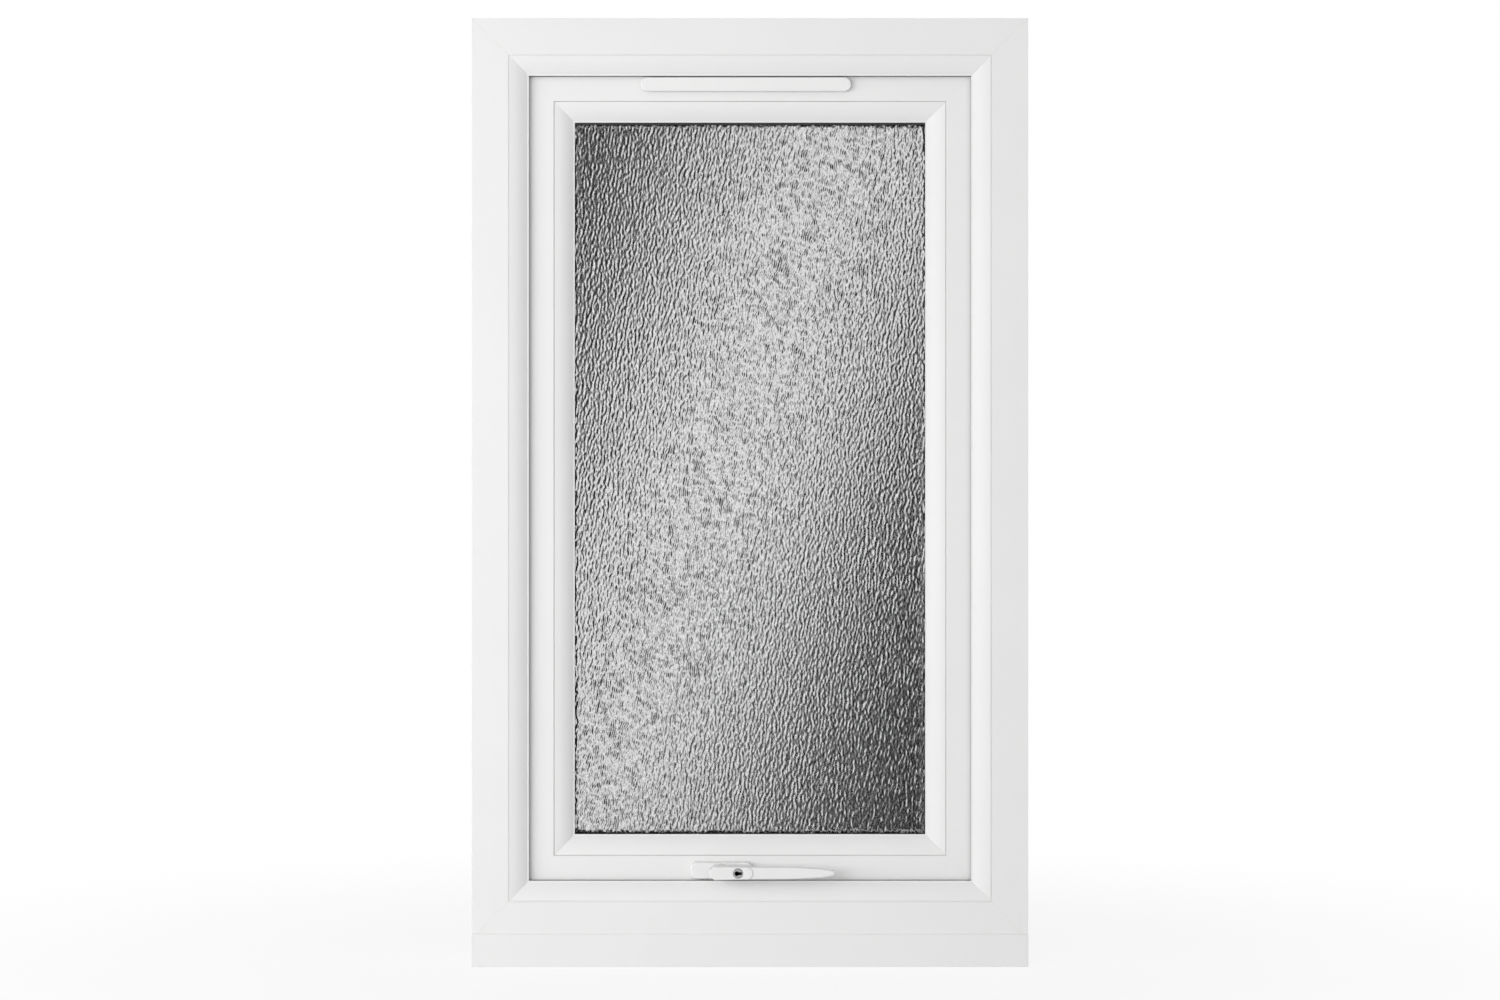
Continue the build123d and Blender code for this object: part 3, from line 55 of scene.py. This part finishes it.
class Surface:
    """A material being built: its shader, and texture coordinates in metres that ride with the piece."""

    def __init__(self, name):
        self.material = bpy.data.materials.new(name)
        self.material.use_nodes = True
        self.tree = self.material.node_tree
        self.shader = self.tree.nodes["Principled BSDF"]
        self.place = self.tree.nodes.new("ShaderNodeTexCoord").outputs["Object"]

    def link(self, source, socket):
        self.tree.links.new(source, socket)

    def set(self, **values):
        """Sets the shader's own sockets, with _ for a space in a socket's name."""
        for name, value in values.items():
            self.shader.inputs[name.replace("_", " ")].default_value = value

    def drive(self, **sources):
        """Links textures to the shader's sockets."""
        for name, source in sources.items():
            self.link(source, self.shader.inputs[name.replace("_", " ")])

    def stretched(self, stretch, turn):
        """Texture coordinates scaled along each axis after a turn in degrees."""
        node = self.tree.nodes.new("ShaderNodeMapping")
        node.inputs["Scale"].default_value = stretch
        node.inputs["Rotation"].default_value = [math.radians(a) for a in turn]
        self.link(self.place, node.inputs["Vector"])
        return node.outputs["Vector"]

    def noise(self, size, stretch=(1, 1, 1), turn=(0, 0, 0), detail=2.0, roughness=0.5):
        """Noise whose features are about size metres across before they are stretched."""
        node = self.tree.nodes.new("ShaderNodeTexNoise")
        node.inputs["Scale"].default_value = 1 / size
        node.inputs["Detail"].default_value = detail
        node.inputs["Roughness"].default_value = roughness
        self.link(self.stretched(stretch, turn), node.inputs["Vector"])
        return node.outputs["Fac"]

    def cells(self, size):
        """Distance to the nearest centre of irregular cells about size metres across."""
        node = self.tree.nodes.new("ShaderNodeTexVoronoi")
        node.inputs["Scale"].default_value = 1 / size
        self.link(self.place, node.inputs["Vector"])
        return node.outputs["Distance"]

    def mapped(self, source, low, high, bottom=0.3, top=0.7):
        """A texture's middle range spread from low to high."""
        node = self.tree.nodes.new("ShaderNodeMapRange")
        ends = {"From Min": bottom, "From Max": top, "To Min": low, "To Max": high}
        for name, value in ends.items():
            node.inputs[name].default_value = value
        self.link(source, node.inputs["Value"])
        return node.outputs["Result"]

    def tint(self, source, low, high, bottom=0.3, top=0.7):
        """A texture's middle range turned into a colour between low and high."""
        node = self.tree.nodes.new("ShaderNodeValToRGB")
        for stop, position, colour in zip(node.color_ramp.elements, (bottom, top), (low, high)):
            stop.position = position
            stop.color = (*colour, 1)
        self.link(source, node.inputs["Fac"])
        return node.outputs["Color"]

    def bump(self, height, depth, normal=None):
        """A texture raised by depth metres at its brightest."""
        node = self.tree.nodes.new("ShaderNodeBump")
        node.inputs["Distance"].default_value = depth
        self.link(height, node.inputs["Height"])
        if normal is not None:
            self.link(normal, node.inputs["Normal"])
        return node.outputs["Normal"]

    def softened(self, radius):
        """Edges rounded by radius, in the shading."""
        node = self.tree.nodes.new("ShaderNodeBevel")
        node.samples = 4
        node.inputs["Radius"].default_value = radius
        return node.outputs["Normal"]

    def coordinate(self, axis):
        """One coordinate of the texture's place, named X, Y or Z."""
        node = self.tree.nodes.new("ShaderNodeSeparateXYZ")
        self.link(self.place, node.inputs["Vector"])
        return node.outputs[axis]

    def glow(self, strength):
        """White light given off by the surface."""
        node = self.tree.nodes.new("ShaderNodeEmission")
        self.link(strength, node.inputs["Strength"])
        return node.outputs["Emission"]

    def finish(self, surface):
        """Takes surface in place of the plain shader."""
        self.link(surface, self.tree.nodes["Material Output"].inputs["Surface"])

    def math(self, operation, first, second):
        """Arithmetic on textures and numbers."""
        node = self.tree.nodes.new("ShaderNodeMath")
        node.operation = operation
        for socket, value in zip(node.inputs, (first, second)):
            if isinstance(value, (int, float)):
                socket.default_value = value
            else:
                self.link(value, socket)
        return node.outputs["Value"]


def shade(colour, factor):
    """A colour made darker or lighter."""
    return tuple(channel * factor for channel in colour)


def extruded_plastic(name, colour, along):
    """White extruded plastic: faint die lines along the profile, a soft gloss and slight waviness."""
    made = Surface(name)
    lines = made.noise(0.9 * MM, stretch=[0.012 if axis == along else 1 for axis in "xyz"], detail=3)
    clouds = made.noise(60 * MM, detail=3)
    peel = made.noise(5 * MM, detail=2)
    made.drive(Base_Color=made.tint(clouds, shade(colour, 0.985), colour))
    made.drive(Roughness=made.mapped(lines, 0.34, 0.44))
    normal = made.bump(lines, 0.006 * MM, made.softened(0.45 * MM))
    made.drive(Normal=made.bump(peel, 0.02 * MM, normal))
    made.set(IOR=1.5, Specular_IOR_Level=0.4)
    return made.material


def moulded_plastic(name, colour, roughness, grain=0.5, mottle=0.95):
    """Injection-moulded plastic: a fine spark-eroded grain and slight flow marks."""
    made = Surface(name)
    fine = made.noise(grain * MM, detail=2)
    flow = made.noise(25 * MM, detail=4, roughness=0.6)
    made.drive(Base_Color=made.tint(flow, shade(colour, mottle), colour))
    made.drive(Roughness=made.mapped(flow, roughness - 0.04, roughness + 0.05))
    made.drive(Normal=made.bump(fine, 0.012 * MM, made.softened(0.3 * MM)))
    return made.material


def powder_coat(name, colour):
    """White powder coat: an even gloss over a shallow orange peel."""
    made = Surface(name)
    peel = made.noise(1.6 * MM, detail=1.5)
    clouds = made.noise(20 * MM, detail=3)
    made.drive(Base_Color=made.tint(clouds, shade(colour, 0.98), colour))
    made.drive(Roughness=made.mapped(clouds, 0.2, 0.27))
    made.drive(Normal=made.bump(peel, 0.012 * MM, made.softened(0.35 * MM)))
    made.set(Coat_Weight=0.25, Coat_Roughness=0.08)
    return made.material


def drawn_metal(name, colour, roughness, along, mottle=0.92):
    """Rolled or drawn metal: long fine scratches along one axis, with a cloudy plating."""
    made = Surface(name)
    stretch = [0.02 if axis == along else 1 for axis in "xyz"]
    scratches = made.noise(0.35 * MM, stretch=stretch, detail=4, roughness=0.65)
    clouds = made.noise(9 * MM, detail=4, roughness=0.6)
    made.drive(Base_Color=made.tint(clouds, shade(colour, mottle), colour))
    made.drive(Roughness=made.mapped(scratches, roughness - 0.08, roughness + 0.12))
    made.drive(Normal=made.bump(scratches, 0.008 * MM, made.softened(0.2 * MM)))
    made.set(Metallic=1.0)
    return made.material


def spangled_zinc(name, colour, roughness):
    """Zinc plating or casting: small crystals of slightly different shades."""
    made = Surface(name)
    crystals = made.cells(2.2 * MM)
    pits = made.noise(0.5 * MM, detail=3)
    made.drive(Base_Color=made.tint(crystals, shade(colour, 0.86), colour, 0.0, 0.8))
    made.drive(Roughness=made.mapped(crystals, roughness - 0.06, roughness + 0.1, 0.0, 0.8))
    made.drive(Normal=made.bump(pits, 0.015 * MM, made.softened(0.2 * MM)))
    made.set(Metallic=1.0)
    return made.material


def turned_brass(name, colour):
    """Turned brass, dulled unevenly by the weather."""
    made = Surface(name)
    tarnish = made.noise(3 * MM, detail=5, roughness=0.65)
    made.drive(Base_Color=made.tint(tarnish, shade(colour, 0.6), colour))
    made.drive(Roughness=made.mapped(tarnish, 0.24, 0.42))
    made.drive(Normal=made.bump(made.noise(0.4 * MM), 0.006 * MM, made.softened(0.15 * MM)))
    made.set(Metallic=1.0)
    return made.material


def polished_chrome(name, colour, mouth_y):
    """Chrome plate with hairline wear from keys, and black shade painted into the keyway behind mouth_y."""
    made = Surface(name)
    wear = made.noise(0.6 * MM, stretch=(1, 1, 0.25), turn=(0, 35, 0), detail=5, roughness=0.7)
    # Painted shade: the mask is 1 in front of mouth_y and 0 behind it, so the keyway's colour goes black as
    # if in shade.
    painted_keyway_shade_mask = made.mapped(made.coordinate("Y"), 1.0, 0.0, mouth_y, mouth_y + 0.2 * MM)
    plate_and_painted_shade = made.tree.nodes.new("ShaderNodeVectorMath")
    plate_and_painted_shade.operation = "SCALE"
    made.link(made.tint(wear, shade(colour, 0.9), colour), plate_and_painted_shade.inputs[0])
    made.link(painted_keyway_shade_mask, plate_and_painted_shade.inputs["Scale"])
    # The plate's colour times the mask: chrome at the front, painted black shade in the keyway.
    made.drive(Base_Color=plate_and_painted_shade.outputs["Vector"])
    made.drive(Roughness=made.mapped(wear, 0.12, 0.26))
    made.drive(Normal=made.bump(wear, 0.004 * MM, made.softened(0.25 * MM)))
    made.set(Metallic=1.0)
    return made.material


def seal_rubber(name, colour, roughness=0.62):
    """Extruded rubber with a faint bloom."""
    made = Surface(name)
    bloom = made.noise(12 * MM, detail=4)
    grain = made.noise(0.3 * MM, detail=2)
    made.drive(Base_Color=made.tint(bloom, colour, shade(colour, 1.7)))
    made.drive(Roughness=made.mapped(bloom, roughness - 0.06, roughness + 0.1))
    made.drive(Normal=made.bump(grain, 0.02 * MM))
    return made.material


def tooled_sealant(name, colour):
    """Sealant pressed into the edge of the unit and left a little lumpy."""
    made = Surface(name)
    lumps = made.noise(4 * MM, detail=3)
    made.drive(Base_Color=made.tint(lumps, colour, shade(colour, 1.5)))
    made.drive(Roughness=made.mapped(lumps, 0.4, 0.55))
    made.drive(Normal=made.bump(lumps, 0.25 * MM))
    return made.material


def clear_glass(name, colour):
    """Float glass, clean but for a trace of haze."""
    made = Surface(name)
    haze = made.noise(70 * MM, detail=5, roughness=0.6)
    made.drive(Base_Color=made.tint(haze, shade(colour, 0.97), colour))
    made.drive(Roughness=made.mapped(haze, 0.0, 0.035))
    made.set(Transmission_Weight=1.0, IOR=1.52)
    return made.material


def rolled_glass(name, colour):
    """Obscured glass: the rolled dashes are in the mesh, and a finer ripple between them is here, with dark
    specks painted into the colour as the dashes' shade.
    """
    made = Surface(name)
    lean = (0, -22, 0)
    ripple = made.noise(2.5 * MM, stretch=(1, 1, 0.6), turn=lean, detail=0)
    painted_dash_shade = made.noise(0.9 * MM, stretch=(1, 1, 0.45), turn=lean, detail=1)
    # Painted shade: dark specks in the base colour stand in for the dark refraction of the rolled dashes.
    made.drive(Base_Color=made.tint(painted_dash_shade, shade(colour, 0.6), colour, 0.32, 0.5))
    made.drive(Roughness=made.mapped(ripple, 0.03, 0.09))
    made.drive(Normal=made.bump(ripple, 0.5 * MM))
    made.set(Transmission_Weight=1.0, IOR=1.52, Specular_Tint=(0.4, 0.4, 0.4, 1))
    return made.material


WHITE = (0.865, 0.868, 0.862)
profile = {axis: extruded_plastic(f"extruded_plastic_{axis}", WHITE, axis) for axis in "xz"}
finishes = {
    "cill_plastic": profile["x"],
    "steel": spangled_zinc("galvanised_steel", (0.55, 0.57, 0.59), 0.42),
    "seal_rubber": seal_rubber("seal_rubber", (0.018, 0.018, 0.019)),
    "drain_plastic": moulded_plastic("drain_plastic", (0.8, 0.8, 0.79), 0.42),
    "patterned_glass": rolled_glass("rolled_glass", (0.955, 0.955, 0.955)),
    "clear_glass": clear_glass("float_glass", (0.965, 0.97, 0.967)),
    "spacer": drawn_metal("mill_aluminium", (0.72, 0.73, 0.74), 0.36, "z"),
    "sealant": tooled_sealant("edge_sealant", (0.014, 0.014, 0.016)),
    "packer_plastic": moulded_plastic("packer_plastic", (0.05, 0.14, 0.42), 0.4),
    "stay_steel": drawn_metal("stay_steel", (0.66, 0.66, 0.65), 0.3, "z"),
    "shoe_plastic": moulded_plastic("shoe_nylon", (0.03, 0.03, 0.033), 0.45),
    "pivot_brass": turned_brass("pivot_brass", (0.72, 0.52, 0.24)),
    "screw_steel": spangled_zinc("screw_zinc", (0.70, 0.70, 0.69), 0.3),
    "handle_white": powder_coat("handle_powder_coat", (0.875, 0.877, 0.872)),
    "handle_metal": spangled_zinc("handle_zinc", (0.6, 0.6, 0.61), 0.35),
    # lock_chrome also carries painted black shade in the keyway, deeper than -55.9 mm.
    "lock_chrome": polished_chrome("lock_chrome", (0.66, 0.67, 0.68), -55.9 * MM),
    "gear_steel": drawn_metal("gear_steel", (0.6, 0.61, 0.63), 0.3, "x"),
    "case_steel": drawn_metal("case_steel", (0.66, 0.67, 0.69), 0.33, "x"),
    "keep_zinc": spangled_zinc("cast_zinc", (0.5, 0.51, 0.52), 0.45),
    "vent_plastic": moulded_plastic("vent_plastic", (0.872, 0.874, 0.868), 0.34, grain=0.8, mottle=0.99),
    "mesh_plastic": moulded_plastic("mesh_plastic", (0.02, 0.02, 0.022), 0.5),
}
PROFILE_SLOTS = ("frame_plastic", "sash_plastic", "bead_plastic")
LEVEL_WORDS = ("head", "rail", "top", "bottom")
slot_of = {part["node"]: part["material_slot"] for part in frame["record"]["subparts"]}
for name, node in frame["nodes"].items():
    slot = slot_of[name]
    if slot in PROFILE_SLOTS:
        level = any(word in name for word in LEVEL_WORDS)
        finish = profile["x" if level else "z"]
    else:
        finish = finishes[slot]
    node.data.materials.clear()
    node.data.materials.append(finish)


# The obscured pane -----------------------------------------------------------------------------


def dashes(columns, rows, pitch_x, pitch_z):
    """A field of short dashes leaning to the right, with zero mean and unit spread."""
    lean = math.radians(66)
    # Cycles a metre
    across_peak, across_spread, along_spread = 295.0, 95.0, 215.0
    source = np.random.default_rng(11).standard_normal((rows, columns))
    fx = np.fft.fftfreq(columns, pitch_x)[None, :]
    fz = np.fft.fftfreq(rows, pitch_z)[:, None]
    across = np.abs(fx * math.sin(lean) - fz * math.cos(lean))
    along = fx * math.cos(lean) + fz * math.sin(lean)
    band = np.exp(-(((across - across_peak) / across_spread) ** 2) / 2)
    band *= np.exp(-((along / along_spread) ** 2) / 2)
    field = np.real(np.fft.ifft2(np.fft.fft2(source) * band))
    return (field - field.mean()) / field.std()


def relief_pane():
    """The inner pane with its rolled face towards the room and a flat margin under the beads."""
    low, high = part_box("glass_inner")
    margin = 12 * MM
    pitch_x, pitch_z = 1.15 * MM, 2.4 * MM
    relief_rms = 0.3 * MM
    relief_limit = 0.6 * MM
    columns = int((high.x - low.x - 2 * margin) / pitch_x)
    rows = int((high.z - low.z - 2 * margin) / pitch_z)
    xs = np.concatenate([[low.x], np.linspace(low.x + margin, high.x - margin, columns), [high.x]])
    zs = np.concatenate([[low.z], np.linspace(low.z + margin, high.z - margin, rows), [high.z]])
    depth = np.zeros((rows + 2, columns + 2))
    field = dashes(columns, rows, pitch_x, pitch_z) * relief_rms
    depth[1:-1, 1:-1] = np.clip(field, -relief_limit, relief_limit) + relief_limit
    grid_x, grid_z = np.meshgrid(xs, zs)
    front = np.stack([grid_x, low.y + depth, grid_z], axis=-1).reshape(-1, 3)
    index = np.arange(front.shape[0]).reshape(rows + 2, columns + 2)
    quads = np.stack(
        [index[:-1, :-1], index[:-1, 1:], index[1:, 1:], index[1:, :-1]], axis=-1
    ).reshape(-1, 4)
    rim = np.concatenate([index[0, :-1], index[:-1, -1], index[-1, :0:-1], index[:0:-1, 0]])
    back = front[rim].copy()
    back[:, 1] = high.y
    first_back = front.shape[0]
    behind = np.arange(len(rim)) + first_back
    ahead, behind_next = np.roll(rim, -1), np.roll(behind, -1)
    sides = np.stack([rim, behind, behind_next, ahead], axis=-1)
    faces = [*map(tuple, quads.tolist()), *map(tuple, sides.tolist()), tuple(behind[::-1].tolist())]
    mesh = bpy.data.meshes.new("glass_relief_pane")
    mesh.from_pydata(np.concatenate([front, back]).tolist(), [], faces)
    smooth = np.zeros(len(faces), bool)
    smooth[: len(quads)] = True
    mesh.polygons.foreach_set("use_smooth", smooth)
    mesh.materials.append(finishes["patterned_glass"])
    mesh.update()
    pane = bpy.data.objects.new("glass_relief_pane", mesh)
    bpy.context.scene.collection.objects.link(pane)
    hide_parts("glass_inner")
    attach(pane, "sash")


relief_pane()


# Studio ----------------------------------------------------------------------------------------


# Light that comes from all round, its strength beside the window and before it, and the floor's share
AMBIENT = 0.652
GRAZING, FRONTAL = 0.3, 1.35
FLOOR_SHARE = 0.8

# How much of the floor's look near the window is an even glow, and where the rest fades out, in metres
FLOOR_GLOW = 0.85
FADE_START, FADE_END = 0.3, 1.2
FLOOR_REACH = 12.0

# The cards beyond the glass: their distance and half size in metres, and their two strengths
CARD_DISTANCE = 3.0
CARD_REACH = 6.0
BAND_SPACING = 3.0
BACKDROP_DARK, BACKDROP_BRIGHT = 0.004, 0.92


def plane(name, corners, material):
    """A single stage face, no part of the window."""
    mesh = bpy.data.meshes.new(name)
    mesh.from_pydata(corners, [], [(0, 1, 2, 3)])
    mesh.materials.append(material)
    made = bpy.data.objects.new(name, mesh)
    bpy.context.scene.collection.objects.link(made)
    return made


def fade_outwards(made):
    """Rises smoothly from 0 to 1 with the distance from the window's foot."""
    length = made.tree.nodes.new("ShaderNodeVectorMath")
    length.operation = "LENGTH"
    made.link(made.place, length.inputs[0])
    node = made.tree.nodes.new("ShaderNodeMapRange")
    node.interpolation_type = "SMOOTHSTEP"
    node.inputs["From Min"].default_value = FADE_START
    node.inputs["From Max"].default_value = FADE_END
    made.link(length.outputs["Value"], node.inputs["Value"])
    return node.outputs["Result"]


def floor_material():
    """A pale floor that takes the window's soft shadow and fades into the white of the backdrop."""
    made = Surface("pale_floor")
    grain = made.noise(3 * MM, detail=2)
    made.drive(Base_Color=made.tint(grain, (0.93, 0.93, 0.93), (0.95, 0.95, 0.95)))
    made.set(Roughness=0.6)
    fade = fade_outwards(made)
    seen = made.tree.nodes.new("ShaderNodeLightPath").outputs["Is Camera Ray"]
    strength = made.mapped(seen, AMBIENT * FLOOR_SHARE, 1.0, 0.0, 1.0)
    mix = made.tree.nodes.new("ShaderNodeMixShader")
    made.link(made.mapped(fade, FLOOR_GLOW, 1.0, 0.0, 1.0), mix.inputs["Fac"])
    made.link(made.shader.outputs["BSDF"], mix.inputs[1])
    made.link(made.glow(strength), mix.inputs[2])
    made.finish(mix.outputs["Shader"])
    return made.material


SQUARE = ((-1, -1), (1, -1), (1, 1), (-1, 1))
floor = plane("floor", [(FLOOR_REACH * x, FLOOR_REACH * y, 0) for x, y in SQUARE], floor_material())
floor.visible_transmission = False


def backdrop_material(name, centre, slope, spread):
    """What lies beyond the glass: blurred bands of daylight, widely spaced on dark surroundings.

    One band passes through centre, and each moves sideways by slope for every metre up.
    """
    made = Surface(name)
    upright = made.math("ADD", made.coordinate("X"), made.math("MULTIPLY", made.coordinate("Z"), -slope))
    offset = made.math("SUBTRACT", upright, centre[0] - slope * centre[1])
    share = made.math("DIVIDE", made.math("PINGPONG", offset, BAND_SPACING / 2), spread)
    exponent = made.math("MULTIPLY", made.math("MULTIPLY", share, share), -0.5)
    bell = made.math("POWER", math.e, exponent)
    made.finish(made.glow(made.mapped(bell, BACKDROP_DARK, BACKDROP_BRIGHT, 0.0, 1.0)))
    return made.material


def card(name, y, material):
    """A sheet that only light through the glass meets."""
    made = plane(name, [(CARD_REACH * x, y, CARD_REACH * z) for x, z in SQUARE], material)
    made.visible_camera = False
    made.visible_diffuse = False
    made.visible_glossy = False
    made.visible_shadow = False
    made.visible_volume_scatter = False


outside = backdrop_material("backdrop_outside", centre=(-0.09, 0.4665), slope=0.39, spread=0.205)
inside = backdrop_material("backdrop_inside", centre=(0.0, 0.5), slope=-0.35, spread=0.22)
card("backdrop_outside", CARD_DISTANCE, outside)
card("backdrop_inside", -CARD_DISTANCE, inside)


def area_light(name, place, target, size, power):
    """A soft box, in metres and watts, that isn't seen through the glass."""
    data = bpy.data.lights.new(name, "AREA")
    data.shape = "RECTANGLE"
    data.size, data.size_y = size
    data.energy = power
    made = bpy.data.objects.new(name, data)
    made.visible_transmission = False
    made.location = place
    made.rotation_euler = (Vector(target) - Vector(place)).to_track_quat("-Z", "Y").to_euler()
    bpy.context.scene.collection.objects.link(made)


area_light("key", place=(-1.75, -1.95, 0.3), target=(0, 0, 0.46), size=(2.8, 1.6), power=57)


def studio_world():
    """White where the camera sees it; for the rest, even light, strongest from the room and from outside."""
    world = bpy.data.worlds.new("studio")
    bpy.context.scene.world = world
    world.use_nodes = True
    tree = world.node_tree
    add = tree.nodes.new
    white, soft = add("ShaderNodeBackground"), add("ShaderNodeBackground")
    split = add("ShaderNodeSeparateXYZ")
    tree.links.new(add("ShaderNodeTexCoord").outputs["Generated"], split.inputs["Vector"])
    depth = add("ShaderNodeMath")
    depth.operation = "ABSOLUTE"
    tree.links.new(split.outputs["Y"], depth.inputs[0])
    frontal = add("ShaderNodeMapRange")
    frontal.inputs["To Min"].default_value = AMBIENT * GRAZING
    frontal.inputs["To Max"].default_value = AMBIENT * FRONTAL
    tree.links.new(depth.outputs["Value"], frontal.inputs["Value"])
    tree.links.new(frontal.outputs["Result"], soft.inputs["Strength"])
    seen = add("ShaderNodeMixShader")
    tree.links.new(add("ShaderNodeLightPath").outputs["Is Camera Ray"], seen.inputs["Fac"])
    tree.links.new(soft.outputs["Background"], seen.inputs[1])
    tree.links.new(white.outputs["Background"], seen.inputs[2])
    for background in (white, soft):
        background.inputs["Color"].default_value = (1, 1, 1, 1)
    tree.links.new(seen.outputs["Shader"], tree.nodes["World Output"].inputs["Surface"])


studio_world()
bpy.context.scene.view_settings.view_transform = "Standard"

camera_data = bpy.data.cameras.new("camera")
camera_data.lens = 77.8
camera_data.sensor_width = 36
camera = bpy.data.objects.new("camera", camera_data)
camera.location = (0, -3.275, 0.4665)
camera.rotation_euler = (math.radians(90), 0, 0)
bpy.context.scene.collection.objects.link(camera)
bpy.context.scene.camera = camera
